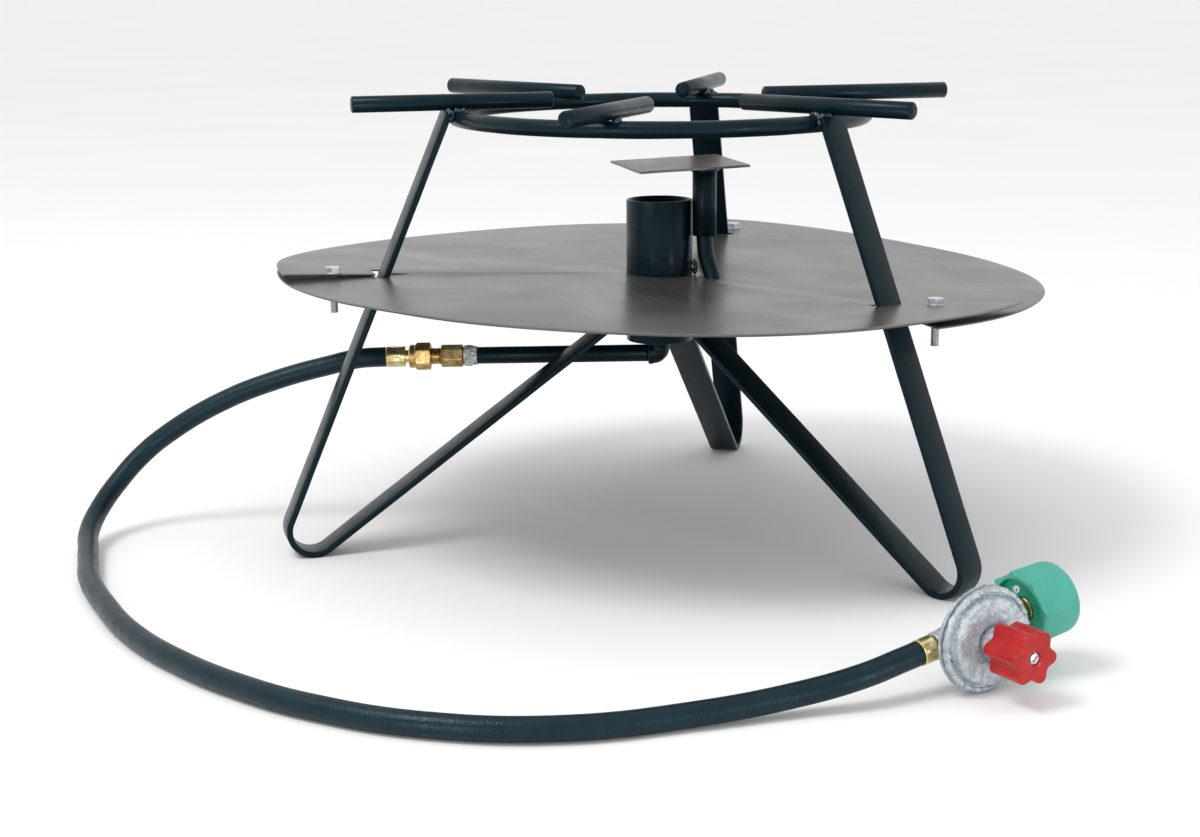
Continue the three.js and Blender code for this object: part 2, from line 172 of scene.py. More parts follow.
def painted(name, dark, light, low, high, coat):
    """Sprayed blue-black paint: soft mottling, orange peel, and dust specks in a few places."""
    look = Look(name, Coat_Weight=coat, Coat_Roughness=0.2, Specular_Tint=(0.6, 0.88, 1, 1),
                Specular_IOR_Level=0.17)
    mottle = look.ramp(look.noise(38, 4), 0.3, 0.7)
    specks = look.ramp(look.cells(330), 0.1, 0.04)
    rare = look.ramp(look.noise(24, 2), 0.6, 0.66)
    tone = look.blend(mottle, dark, light)
    look.colour(look.blend(look.product(specks, rare), tone, (0.16, 0.17, 0.165)))
    look.rough(look.ramp(look.noise(60, 5, distortion=0.4), 0.3, 0.7, low, high))
    peel = look.bump(look.noise(520, 2), 0.00012)
    look.bump(look.noise(45, 2), 0.0004, peel)
    return look.material


def sheet_paint():
    """Satin black on thin sheet, with cloudy dust, fine scratches and scuffs."""
    look = Look("shield_paint", IOR=1.62)
    cloud = look.ramp(look.noise(9, 5), 0.35, 0.7)
    tone = look.blend(cloud, (0.036, 0.037, 0.033), (0.056, 0.056, 0.05))
    scratch = look.ramp(look.noise(150, 2, stretch=(1, 14, 1)), 0.7, 0.78)
    scuffed = look.ramp(look.noise(11, 3), 0.56, 0.66)
    tone = look.blend(look.product(scratch, scuffed), tone, (0.24, 0.24, 0.23))
    specks = look.ramp(look.cells(210), 0.09, 0.03)
    rare = look.ramp(look.noise(30), 0.58, 0.64)
    look.colour(look.blend(look.product(specks, rare), tone, (0.28, 0.28, 0.26)))
    look.rough(look.ramp(look.noise(14, 6, distortion=0.5), 0.3, 0.7, 0.25, 0.34))
    peel = look.bump(look.noise(420, 2), 0.00006)
    look.bump(look.noise(16, 2), 0.0003, peel)
    return look.material


def plated():
    """Bright zinc plate, slightly cloudy and scratched."""
    look = Look("zinc_plate", Metallic=1.0)
    cloud = look.ramp(look.noise(260, 4), 0.3, 0.7)
    look.colour(look.blend(cloud, (0.56, 0.6, 0.64), (0.72, 0.76, 0.8)))
    look.rough(look.ramp(look.noise(420, 3), 0.3, 0.7, 0.28, 0.42))
    look.bump(look.noise(1500, 2), 0.00002)
    return look.material


def turned_metal():
    """Bright machined alloy with fine turning marks."""
    look = Look("turned_metal", Metallic=0.9)
    look.colour(look.blend(look.ramp(look.noise(200, 3), 0.3, 0.7), (0.6, 0.63, 0.66), (0.85, 0.87, 0.89)))
    look.rough(look.ramp(look.noise(300, 3), 0.3, 0.7, 0.18, 0.34))
    look.bump(look.noise(900, 2, stretch=(0.3, 0.3, 3)), 0.00004)
    return look.material


def brassy(name, dark, light, low, high):
    """Machined brass with tarnish in patches and fine tool marks."""
    look = Look(name, Metallic=1.0)
    patches = look.ramp(look.noise(150, 5, distortion=0.6), 0.35, 0.68)
    look.colour(look.blend(patches, dark, light))
    look.rough(look.ramp(look.noise(240, 4), 0.3, 0.7, low, high))
    look.bump(look.noise(900, 2, stretch=(6, 1, 1)), 0.00005)
    return look.material


def cast_metal():
    """Die-cast zinc: blue-grey and sandy, its tone clouded at random, with near-white grains that are painted
    glints.
    """
    look = Look("cast_zinc", Metallic=0.6)
    cloud = look.ramp(look.noise(180, 5, 0.65), 0.36, 0.64)
    tone = look.blend(cloud, (0.3, 0.35, 0.39), (0.53, 0.58, 0.62))
    # Painted glints: scattered grains coloured near white stand for light sparkling off the sandy face.
    grain = look.ramp(look.noise(900, 3, 0.7), 0.58, 0.68)
    look.colour(look.blend(grain, tone, (0.96, 0.98, 1)))
    look.rough(look.ramp(look.noise(380, 4), 0.3, 0.7, 0.24, 0.5))
    look.bump(look.noise(800, 4, 0.7), 0.0005)
    return look.material


def moulded(name, dark, light, gloss, relief):
    """Moulded plastic: faint flow marks, soft gloss and a very fine grain."""
    look = Look(name, Specular_IOR_Level=0.36)
    look.colour(look.blend(look.ramp(look.noise(70, 4), 0.3, 0.7), dark, light))
    look.rough(look.ramp(look.noise(200, 3), 0.3, 0.7, gloss, gloss + 0.14))
    fine = look.bump(look.noise(1400, 2), relief)
    look.bump(look.noise(110, 2), 0.0003, fine)
    return look.material


def rubbery():
    """Extruded rubber cover: matt black with a faint cloth pattern pressed into it and some dust."""
    look = Look("rubber", Specular_IOR_Level=0.3, Specular_Tint=(0.65, 0.9, 1, 1))
    tone = look.blend(look.ramp(look.noise(40, 4), 0.3, 0.7), (0.0012, 0.0085, 0.0135), (0.003, 0.015, 0.022))
    dust = look.product(look.ramp(look.noise(700, 3), 0.62, 0.75), look.ramp(look.noise(20, 3), 0.5, 0.7))
    look.colour(look.blend(dust, tone, (0.05, 0.07, 0.075)))
    look.rough(look.ramp(look.noise(90, 4), 0.3, 0.7, 0.3, 0.44))
    weave = look.bump(look.cells(620), 0.00016)
    look.bump(look.noise(300, 3), 0.00012, weave)
    return look.material


def taped():
    """Thread seal, white paste over torn tape, dark grey in random patches."""
    look = Look("thread_seal")
    look.colour(look.blend(look.ramp(look.noise(420, 5), 0.35, 0.65), (0.2, 0.21, 0.21), (0.74, 0.76, 0.75)))
    look.rough(look.ramp(look.noise(200, 3), 0.3, 0.7, 0.6, 0.85))
    look.bump(look.noise(800, 4), 0.0006)
    return look.material


def welded():
    """Paint over weld metal: glossier and lumpier than the bars."""
    look = Look("weld_paint", Coat_Weight=0.35, Coat_Roughness=0.12, Specular_Tint=(0.6, 0.88, 1, 1))
    heat = look.ramp(look.noise(260, 4), 0.4, 0.66)
    look.colour(look.blend(heat, (0.002, 0.01, 0.016), (0.02, 0.034, 0.04)))
    look.rough(look.ramp(look.noise(300, 4), 0.3, 0.7, 0.16, 0.34))
    look.bump(look.noise(420, 3), 0.0006)
    return look.material


PAINT = painted("black_paint", (0.0006, 0.006, 0.0105), (0.0024, 0.0105, 0.0155), 0.26, 0.38, 0.05)
SHIELD_PAINT = sheet_paint()
WELD_PAINT = welded()
ZINC = plated()
NECK = turned_metal()
BRASS = brassy("brass", (0.36, 0.22, 0.07), (0.78, 0.56, 0.24), 0.22, 0.42)
FERRULE_BRASS = brassy("ferrule_brass", (0.66, 0.51, 0.22), (0.94, 0.8, 0.46), 0.16, 0.34)
CAST = cast_metal()
RED = moulded("red_plastic", (0.33, 0.0035, 0.003), (0.43, 0.008, 0.006), 0.2, 0.00006)
GREEN = moulded("green_plastic", (0.05, 0.32, 0.25), (0.068, 0.37, 0.29), 0.36, 0.00008)
# A more saturated copy of the green plastic for the faces inside the near socket: painted light, standing for how
# light colours the socket's inside.
GREEN_SOCKET_PAINTED_LIGHT = moulded("green_socket_painted_light", (0.0, 0.3, 0.17), (0.0, 0.36, 0.21), 0.4, 0.00008)
RUBBER = rubbery()
SEAL = taped()


# ---- Mesh helpers: sizes in millimetres in a piece's own space ----------------------------------

def skin(rings, loop=False, caps=False, around=True):
    """Faces between rings of equal count; loop joins the last ring to the first."""
    made = bmesh.new()
    rows = [[made.verts.new(p) for p in ring] for ring in rings]
    count = len(rows[0])
    pairs = list(zip(rows, rows[1:]))
    if loop:
        pairs.append((rows[-1], rows[0]))
    for a, b in pairs:
        for i in range(count if around else count - 1):
            j = (i + 1) % count
            made.faces.new((a[i], a[j], b[j], b[i]))
    if caps:
        made.faces.new(list(reversed(rows[0])))
        made.faces.new(rows[-1])
    bmesh.ops.remove_doubles(made, verts=made.verts, dist=1e-4)
    return made


def circle(radius, z, count, shape=None):
    """A ring about Z; shape(angle) scales its radius or shifts it when it returns a pair."""
    ring = []
    for i in range(count):
        angle = TAU * i / count
        r, h = radius, z
        if shape:
            r, h = shape(angle, radius, z)
        ring.append(Vector((r * math.cos(angle), r * math.sin(angle), h)))
    return ring


def turned(profile, count=64, shape=None):
    """A profile of (radius, height) pairs turned about Z. It closes on itself or ends on the axis."""
    rings = [circle(r, z, count, shape) for r, z in profile]
    closed = profile[0] != profile[-1] and min(profile[0][0], profile[-1][0]) > 0
    return skin(rings, loop=closed)


def bar_profile(radius, low, high, round_off=0.6):
    """A solid round bar's profile, its ends slightly rounded."""
    return [(0, low), (radius - round_off, low), (radius, low + round_off),
            (radius, high - round_off), (radius - round_off, high), (0, high)]


def pipe_profile(outer, inner, low, high, round_off=0.5):
    """A tube's profile, its four edges slightly rounded."""
    return [(inner, low + round_off), (inner + round_off, low), (outer - round_off, low),
            (outer, low + round_off), (outer, high - round_off), (outer - round_off, high),
            (inner + round_off, high), (inner, high - round_off)]


def hexagon(across, low, high, bore=0.0, both=True):
    """A chamfered hexagon about Z, across its flats, with an optional bore."""
    flat = across / 2
    rim = flat * 0.97
    count = 96

    def reach(angle):
        return flat / math.cos((angle + TAU / 12) % (TAU / 6) - TAU / 12)

    def side(z, sign):
        points = []
        for i in range(count):
            angle = TAU * i / count
            r = min(reach(angle), across / math.sqrt(3) * 0.985)
            drop = max(0.0, r - rim) * 0.55
            points.append(Vector((r * math.cos(angle), r * math.sin(angle), z - sign * drop)))
        return points

    lower = side(low, -1) if both else side(low, 0)
    rings = [circle(rim, low, count)] if both else []
    rings += [lower, side(high, 1), circle(rim, high, count)]
    if bore > 0:
        return skin([circle(bore, low, count), *rings, circle(bore, high, count)], loop=True)
    return skin([circle(0, low, count), *rings, circle(0, high, count)])


def thread(radius, low, high, pitch=1.27, depth=0.55, count=40):
    """A solid threaded bar about Z, its crests running in a helix."""
    rows = max(4, int((high - low) / pitch * 6))
    rings = [circle(0, low, count)]
    for row in range(rows + 1):
        z = low + (high - low) * row / rows

        def crest(angle, r, h):
            wave = abs(((h / pitch - angle / TAU) % 1) * 2 - 1)
            return r - depth * (1 - wave), h

        rings.append(circle(radius, z, count, crest))
    rings.append(circle(0, high, count))
    return skin(rings)


def swept(path, section, caps=True, loop=False):
    """Rings of a section carried along a path of (point, across, up) frames."""
    return skin([[p + across * x + up * y for x, y in section] for p, across, up in path],
                loop=loop, caps=caps)


def round_section(radius, count=24):
    return [(radius * math.cos(TAU * i / count), radius * math.sin(TAU * i / count)) for i in range(count)]


def lumpy(made, amount, size, seed=0.0):
    """Pushes vertices along their normals by soft noise, both in the mesh's units."""
    made.normal_update()
    for vertex in made.verts:
        vertex.co += vertex.normal * amount * noise.noise(vertex.co / size + Vector((seed, 0, 0)))
    return made


def joined(*parts):
    """Several bmeshes as one."""
    whole = bmesh.new()
    for part in parts:
        mesh = bpy.data.meshes.new("part")
        part.to_mesh(mesh)
        part.free()
        whole.from_mesh(mesh)
        bpy.data.meshes.remove(mesh)
    return whole


def moved(made, matrix):
    made.transform(matrix)
    return made


def piece(name, made, body, materials, at=Matrix.Identity(4), stands_for=(), crease=32, bevel=0.0):
    """Makes an object of a bmesh in millimetres, placed by a matrix in millimetres."""
    bmesh.ops.recalc_face_normals(made, faces=made.faces)
    made.transform(Matrix.Scale(MM, 4) @ at)
    for face in made.faces:
        face.smooth = True
    for edge in made.edges:
        if len(edge.link_faces) == 2 and edge.calc_face_angle(0) > math.radians(crease):
            edge.smooth = False
    mesh = bpy.data.meshes.new(name)
    made.to_mesh(mesh)
    made.free()
    for material in materials if isinstance(materials, list) else [materials]:
        mesh.materials.append(material)
    thing = bpy.data.objects.new(name, mesh)
    bpy.context.collection.objects.link(thing)
    if bevel:
        edges = thing.modifiers.new("edges", "BEVEL")
        edges.width = bevel * MM
        edges.segments = 3
        edges.limit_method = "ANGLE"
        edges.angle_limit = math.radians(40)
    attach(thing, body)
    if stands_for:
        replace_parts(thing, *stands_for)
    return thing


def axes(origin, x, z):
    """A matrix in millimetres with the given local X and Z directions."""
    z = Vector(z).normalized()
    y = z.cross(Vector(x)).normalized()
    x = y.cross(z)
    turn = Matrix((x, y, z)).transposed().to_4x4()
    return Matrix.Translation(Vector(origin)) @ turn


# ---- Places taken from the frame, in millimetres ------------------------------------------------

REGULATOR = axes(Vector(JOINTS["knob_turn"]["pos_m"]) / MM, JOINTS["coupling_nut_spin"]["axis"],
                 -Vector(JOINTS["knob_turn"]["axis"]))
PORT = axes(Vector(JOINTS["coupling_nut_spin"]["pos_m"]) / MM, -Vector(JOINTS["knob_turn"]["axis"]),
            JOINTS["coupling_nut_spin"]["axis"])
GAS = axes(Vector(JOINTS["flare_nut_spin"]["pos_m"]) / MM, (0, 0, 1),
           -Vector(JOINTS["flare_nut_spin"]["axis"]))


def low_high(node):
    """A node's corners in millimetres."""
    low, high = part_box(node)
    return low / MM, high / MM


# ---- Hose ---------------------------------------------------------------------------------------

HOSE_RADIUS = 8
HOSE_ROUTE = [
    (-220.9, 1, 141.1), (-244, 1, 139.6), (-266, 1, 134.6), (-310, 0.5, 122.5), (-356, 0, 104.5),
    (-400, -3, 79), (-422, -8, 61.5), (-439, -22, 42.5), (-449, -45, 26.5), (-450.5, -74, 15.5),
    (-443, -107, 10.2), (-433.5, -143, 8.7), (-423, -180, 8.4), (-397, -240, 8.4), (-358, -312, 8.4),
    (-311, -372, 8.4), (-266, -415, 8.4), (-214, -452, 8.4), (-140, -483, 8.4), (-59, -489, 8.6),
    (22, -465, 9), (86, -441.5, 13.5), (125, -428.5, 20.4), (152.3, -412.7, 26), (162.1, -406.6, 28),
]


def make_hose():
    curve = bpy.data.curves.new("hose", "CURVE")
    curve.dimensions = "3D"
    curve.bevel_depth = HOSE_RADIUS * MM
    curve.bevel_resolution = 10
    curve.resolution_u = 14
    curve.use_fill_caps = True
    spline = curve.splines.new("BEZIER")
    spline.bezier_points.add(len(HOSE_ROUTE) - 1)
    for point, place in zip(spline.bezier_points, HOSE_ROUTE):
        point.co = Vector(place) * MM
        point.handle_left_type = point.handle_right_type = "AUTO"
    curve.materials.append(RUBBER)
    hose = bpy.data.objects.new("rubber_hose", curve)
    bpy.context.collection.objects.link(hose)
    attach(hose, "stand")
    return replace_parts(hose, "hose")


hose = make_hose()


# ---- Pot stand: ring, rests and legs ------------------------------------------------------------

ROD = 6.35  # the round bars' radius
BAR_HALF_WIDTH, BAR_HALF_THICKNESS = 12.7, 2.38
REST_INNER, REST_OUTER = 87, 243.5
REST_SKEW = math.radians(-7.5)  # the second rest lies off its radius
FIRST_LEG = math.radians(197.3)
LEG_STEP = TAU / 3
LEGS = ("left", "front", "rear")
RING_RADIUS = low_high("top_ring")[1].x - ROD
RING_Z = (low_high("top_ring")[0].z + low_high("top_ring")[1].z) / 2


def polar(r, azimuth, z):
    return Vector((r * math.cos(azimuth), r * math.sin(azimuth), z))


def make_ring():
    path = []
    for i in range(160):
        angle = TAU * i / 160
        path.append((polar(RING_RADIUS, angle, RING_Z), polar(1, angle, 0), Vector((0, 0, 1))))
    ring = lumpy(swept(path, round_section(ROD, 28), caps=False, loop=True), 0.25, 30)
    piece("ring_rod", ring, "stand", PAINT, stands_for=["top_ring"])


def make_rests():
    half = (REST_OUTER - REST_INNER) / 2
    for i in range(6):
        node = f"pot_rest_{i + 1}"
        low, high = low_high(node)
        azimuth = FIRST_LEG + i * LEG_STEP / 2
        skew = REST_SKEW if i == 1 else 0
        direction = polar(1, azimuth + skew, 0)
        centre = (low + high) / 2
        rod = lumpy(turned(bar_profile(ROD, -half, half, 0.8), 40), 0.12, 12, i)
        piece(f"rest_rod_{i + 1}", rod, "stand", PAINT,
              axes(centre, (0, 0, 1), direction), [node], crease=50)


def bar_section(half_width, half_thickness, corner=1.1, steps=3):
    """A flat bar's section with rounded corners."""
    points = []
    for quarter, (sx, sy) in enumerate(((1, 1), (-1, 1), (-1, -1), (1, -1))):
        for step in range(steps + 1):
            angle = TAU / 4 * (quarter + step / steps)
            points.append((sx * (half_width - corner) + corner * math.cos(angle),
                           sy * (half_thickness - corner) + corner * math.sin(angle)))
    return points


def leg_line():
    """The leg's middle line as (radius, height, tangent angle) from the ring down and back to the hub."""
    top, hub, bend_r, bend = (170.4, 340.8), (26.8, 180.6), 284.4, 19.1
    half_facet = math.radians(6.5)  # the solid leg's bend is faceted, and one facet lies on the ground
    centre = (bend_r, (bend + BAR_HALF_THICKNESS) * math.cos(half_facet))

    def touch(end, side):
        away = (end[0] - centre[0], end[1] - centre[1])
        return math.atan2(away[1], away[0]) + side * math.acos(bend / math.hypot(*away))

    start = touch(top, -1)
    end = touch(hub, 1) - TAU
    line = [(*top, start - TAU / 4)]
    for i in range(41):
        angle = start + (end - start) * i / 40
        line.append((centre[0] + bend * math.cos(angle), centre[1] + bend * math.sin(angle), angle - TAU / 4))
    line.append((*hub, end - TAU / 4))
    return line


def leg_stations():
    """The leg's middle line with its two straight runs divided, so that they can be lumpy."""
    line = leg_line()
    stations = []
    for a, b in zip(line, line[1:]):
        straight = math.hypot(b[0] - a[0], b[1] - a[1]) > 50
        steps = 24 if straight else 1
        tangent = b[2] if straight else a[2]
        for k in range(steps):
            t = k / steps
            stations.append((a[0] + (b[0] - a[0]) * t, a[1] + (b[1] - a[1]) * t, tangent))
    return [*stations, line[-1]]


def make_legs():
    """Bars run from the ring to the ground, bend back and end on the burner tube."""
    for i, name in enumerate(LEGS):
        azimuth = FIRST_LEG + i * LEG_STEP
        aside = polar(1, azimuth + TAU / 4, 0)
        path = []
        for r, z, tangent in leg_stations():
            normal = polar(-math.sin(tangent), azimuth, 0) + Vector((0, 0, math.cos(tangent)))
            path.append((polar(r, azimuth, z), aside, normal))
        bar = lumpy(swept(path, bar_section(BAR_HALF_WIDTH, BAR_HALF_THICKNESS)), 0.16, 26, i)
        piece(f"leg_bar_{name}", bar, "stand", PAINT, stands_for=[f"leg_{name}"], crease=60)


make_ring()
make_rests()
make_legs()


# ---- Burner tube, post, sleeve and flame spreader -----------------------------------------------

TUBE_WALL = 3
SLEEVE_OUTER, SLEEVE_INNER = 9.5, 6.75


def make_burner():
    low, high = low_high("burner_tube")
    radius = high.x
    tube = turned(pipe_profile(radius, radius - TUBE_WALL, low.z, high.z, 0.7), 96)
    piece("tube", lumpy(tube, 0.15, 14), "stand", PAINT, stands_for=["burner_tube"], crease=60)


POST = Vector(JOINTS["spreader_swivel"]["pos_m"]) / MM


def make_post():
    x, y = POST.x, POST.y
    line = [Vector(p) for p in (
        (x, y, 293.6), (x, y, 282), (x, y, 270), (x, y, 258), (x, y, 246), (x + 0.1, y - 0.3, 238),
        (x + 0.6, y - 1, 229), (x + 2.6, y - 4.4, 220), (x + 6, y - 10, 210), (x + 8.4, y - 16, 199),
        (x + 10, y - 22, 188), (x + 11.6, y - 27, 178), (x + 13, y - 31, 170))]
    path = []
    for i, p in enumerate(line):
        ahead = (line[min(i + 1, len(line) - 1)] - line[max(i - 1, 0)]).normalized()
        across = Vector((0, 1, 0)).cross(ahead).normalized()
        path.append((p, across, ahead.cross(across)))
    post = lumpy(swept(path, round_section(ROD)), 0.1, 12)
    piece("post_rod", post, "stand", PAINT, stands_for=["spreader_post"], crease=60)


def make_spreader():
    low, high = low_high("spreader_sleeve")
    at = Matrix.Translation((POST.x, POST.y, 0))
    sleeve = turned(pipe_profile(SLEEVE_OUTER, SLEEVE_INNER, low.z, high.z, 0.6), 48)
    piece("sleeve", lumpy(sleeve, 0.12, 10), "spreader", PAINT, at, ["spreader_sleeve"],
          crease=60)
    bead = weld_ring(9.6, high.z - 1.1, 1.6, 7)
    piece("sleeve_weld", bead, "spreader", WELD_PAINT, at, crease=80)
    low, high = low_high("spreader_plate")
    centre = (low + high) / 2
    turn = (Matrix.Rotation(math.atan(0.018), 4, "X") @ Matrix.Rotation(-math.atan(0.027), 4, "Y")
            @ Matrix.Rotation(math.radians(16.8), 4, "Z"))
    half_x, half_y, half_z, steps = 44.45, 43, 0.95, 16
    rows = []
    for level in (-half_z, half_z):
        for i in range(steps + 1):
            y = half_y * (2 * i / steps - 1) * (1 if level < 0 else -1)
            rows.append([Vector((half_x * (2 * j / steps - 1), y,
                                 level + 0.35 * noise.noise(Vector((j / 7, y / 40, 3)))))
                         for j in range(steps + 1)])
    plate = skin(rows, loop=True, around=False)
    bmesh.ops.holes_fill(plate, edges=plate.edges)
    piece("plate", plate, "spreader", SHIELD_PAINT, Matrix.Translation(centre) @ turn,
          ["spreader_plate"], bevel=0.35)


# ---- Weld beads ---------------------------------------------------------------------------------

def weld_ring(radius, z, thickness, lumps):
    """A bead laid round a circle about Z, in overlapping puddles."""
    path = []
    count = lumps * 10
    for i in range(count):
        angle = TAU * i / count
        path.append((polar(radius, angle, z), polar(1, angle, 0), Vector((0, 0, 1))))
    bead = swept(path, round_section(thickness, 12), caps=False, loop=True)
    return lumpy(bead, thickness * 0.55, thickness * 2.2, lumps)


def weld_run(points, thickness, seed):
    """A bead along a line of points: puddles that overlap, thin at both ends."""
    points = [Vector(p) for p in points]
    path = []
    total = sum((b - a).length for a, b in zip(points, points[1:]))
    steps = max(8, int(total / 0.8))
    for i in range(steps + 1):
        target = total * i / steps
        for a, b in zip(points, points[1:]):
            span = (b - a).length
            if target <= span or b is points[-1]:
                p = a.lerp(b, min(1, target / span))
                ahead = (b - a).normalized()
                break
            target -= span
        across = ahead.orthogonal().normalized()
        share = math.sin(math.pi * min(1, max(0, i / steps)) ** 0.9)
        puddle = 1 + 0.16 * math.cos(TAU * total * i / steps / 3.1)
        size = thickness * max(0.16, min(1, share * 2.2)) * puddle
        path.append((p, across * size, ahead.cross(across) * size))
    bead = swept(path, round_section(1, 14))
    return lumpy(bead, thickness * 0.5, thickness * 1.7, seed)


def make_welds():
    """Beads where rests cross the ring, where legs meet the ring, and round the hub."""
    rest_z = low_high("pot_rest_1")[1].z - ROD
    contact = (RING_Z + rest_z) / 2
    parts = []
    for i in range(6):
        azimuth = FIRST_LEG + i * LEG_STEP / 2
        for side in (-1, 1):
            middle = polar(RING_RADIUS, azimuth, contact) + polar(side * 4.6, azimuth + TAU / 4, 0)
            along = polar(5.5, azimuth, 0)
            bow = polar(side * 1.4, azimuth + TAU / 4, -0.4)
            parts.append(weld_run([middle - along, middle + bow, middle + along], 2.5, 3.7 * i + side))
    for i in range(3):
        azimuth = FIRST_LEG + i * LEG_STEP
        for side in (-1, 1):
            aside = polar(side * 11.5, azimuth + TAU / 4, 0)
            parts.append(weld_run([polar(168, azimuth, 334) + aside, polar(169.5, azimuth, 338) + aside * 0.9,
                                   polar(167, azimuth, 342.5) + aside * 0.75], 2.6, 11 + i + side))
        corner, across = polar(169, azimuth, 341.4), azimuth + TAU / 4
        parts.append(weld_run([corner + polar(-12, across, 0), polar(171, azimuth, 342.6),
                               corner + polar(12, across, 0)], 2.4, 23 + i))
        for side in (-1, 1):
            edge = polar(side * 13, azimuth + TAU / 4, 0)
            parts.append(weld_run([polar(22.9, azimuth, 186) + edge, polar(22.9, azimuth, 180) + edge,
                                   polar(22.9, azimuth, 174) + edge], 2.2, 31 + i + side))
        for height in (183.6, 177.2):
            arc = [polar(27.2, azimuth + math.radians(a), height) for a in range(-27, 28, 9)]
            parts.append(weld_run(arc, 1.9, 41 + i + height))
    for side in (-1, 1):
        parts.append(weld_run([(27.8, -6.6 + side * 3.4, 209), (28.6, -7.2 + side * 3.8, 215),
                               (28, -7 + side * 3.6, 221)], 1.8, 57 + side))
    piece("welds", joined(*parts), "stand", WELD_PAINT, crease=80)


make_burner()
make_post()
make_spreader()
make_welds()


# ---- Heat shield --------------------------------------------------------------------------------

SHIELD_RADIUS = 302
SHIELD_BORE = 26.85
SHEET = 1.2
SHEET_Z, SHEET_DISH = 208.6, 4.7  # height at the tube, and how much higher the rim lies
SHEET_TILT = (-0.0286, 0.0036)  # slope along X and Y
CUT_INNER, SLOT_INNER, SLOT_OUTER = 203, 221.5, 230
CUT_HALF, SLOT_HALF = math.radians(0.12), math.radians(4.1)
LIP_RISE, LIP_START = 2.8, 0.95
LIP_FADE, LIP_UNDER = math.radians(38), math.radians(8)
LIP_OVER = [math.radians(a) for a in (3.6, 14, 8)]
DROOP = (0, 4.4, 9)
SEAM_RISE, SEAM_WIDTH = (0.8, 1.7, 0.8), math.radians(5)  # beside the left, front and rear legs


def fade(t):
    t = min(1, max(0, t))
    return 1 - t * t * (3 - 2 * t)


def lip_rise(r):
    if r <= CUT_INNER:
        return 0
    if r <= SLOT_OUTER:
        return LIP_START * (r - CUT_INNER) / (SLOT_OUTER - CUT_INNER)
    return LIP_START + (LIP_RISE - LIP_START) * (r - SLOT_OUTER) / (SHIELD_RADIUS - SLOT_OUTER)


def sheet_height(x, y):
    dish = SHEET_DISH * math.hypot(x, y) / SHIELD_RADIUS
    return SHEET_Z + dish + SHEET_TILT[0] * x + SHEET_TILT[1] * y


def ripple(p):
    """Slow waves of a pressed sheet that has been knocked about; none at the tube."""
    r = math.hypot(p.x, p.y)
    free = min(1, max(0, (r - 30) / 60))
    return free * 0.4 * noise.noise(Vector((p.x / 90, p.y / 90, 4)))


def seam(r, turn, leg):
    """Each sector's edge stands up along the seam inside its slit, and the next one lies low."""
    reach = r / CUT_INNER if r < CUT_INNER else max(0, 1 - (r - CUT_INNER) / 25)
    return SEAM_RISE[leg] * reach * (turn / SEAM_WIDTH) * math.exp(1 - turn / SEAM_WIDTH)


def shield_height(p, r, sector, turn):
    lips = lip_rise(r) * (fade((LEG_STEP - turn) / LIP_FADE) - fade(turn / LIP_FADE))
    inside = min(LEG_STEP, max(0, turn))
    droop = DROOP[sector] * math.sin(math.pi * inside / LEG_STEP) ** 1.5 * (r / SHIELD_RADIUS) ** 2
    ridges = seam(r, LEG_STEP - inside, (sector + 1) % 3) - seam(r, inside, sector)
    return sheet_height(p.x, p.y) + lips - droop + ridges + ripple(p)


def make_shield():
    radii = [SHIELD_BORE + (CUT_INNER - SHIELD_BORE) * i / 18 for i in range(18)]
    radii += [CUT_INNER + (SLOT_INNER - CUT_INNER) * i / 3 for i in range(3)]
    radii += [SLOT_INNER + (SLOT_OUTER - SLOT_INNER) * i / 3 for i in range(3)]
    radii += [SLOT_OUTER + (SHIELD_RADIUS - SLOT_OUTER) * i / 10 for i in range(11)]
    cut_row, inner_row, outer_row = 18, 21, 24
    edge, middle = 5, 72
    made = bmesh.new()
    grid = {}
    for sector in range(3):
        for column in range(edge * 2 + middle + 1):
            for row, r in enumerate(radii):
                reach = 0 if row < outer_row else 0.5 + 0.5 * (r - SLOT_OUTER) / (SHIELD_RADIUS - SLOT_OUTER)
                parting = CUT_HALF if cut_row < row <= inner_row else 0
                first = parting - LIP_UNDER * reach
                last = LEG_STEP - parting + LIP_OVER[(sector + 1) % 3] * reach
                if column < edge:
                    turn = first + (SLOT_HALF - first) * column / edge
                elif column <= edge + middle:
                    turn = SLOT_HALF + (LEG_STEP - 2 * SLOT_HALF) * (column - edge) / middle
                else:
                    start = LEG_STEP - SLOT_HALF
                    turn = start + (last - start) * (column - edge - middle) / edge
                p = polar(r, FIRST_LEG + sector * LEG_STEP + turn, 0)
                p.z = shield_height(p, r, sector, turn)
                grid[sector, column, row] = made.verts.new(p)
        for column in range(edge * 2 + middle):
            for row in range(len(radii) - 1):
                side = column < edge or column >= edge + middle
                if side and inner_row <= row < outer_row:
                    continue
                made.faces.new((grid[sector, column, row], grid[sector, column, row + 1],
                                grid[sector, column + 1, row + 1], grid[sector, column + 1, row]))
    bmesh.ops.remove_doubles(made, verts=[v for k, v in grid.items() if k[2] <= cut_row], dist=1e-3)
    shield = piece("shield_sheet", made, "stand", SHIELD_PAINT, stands_for=["heat_shield"],
                   crease=60)
    solid = shield.modifiers.new("sheet", "SOLIDIFY")
    solid.thickness = SHEET * MM
    solid.offset = 0
    edges = shield.modifiers.new("edges", "BEVEL")
    edges.width = 0.3 * MM
    edges.segments = 2
    edges.limit_method = "ANGLE"
    edges.angle_limit = math.radians(50)


make_shield()


BOLT_ACROSS, BOLT_HEAD, BOLT_SHANK, WASHER = 11.1, 4.2, 3.1, 0.7


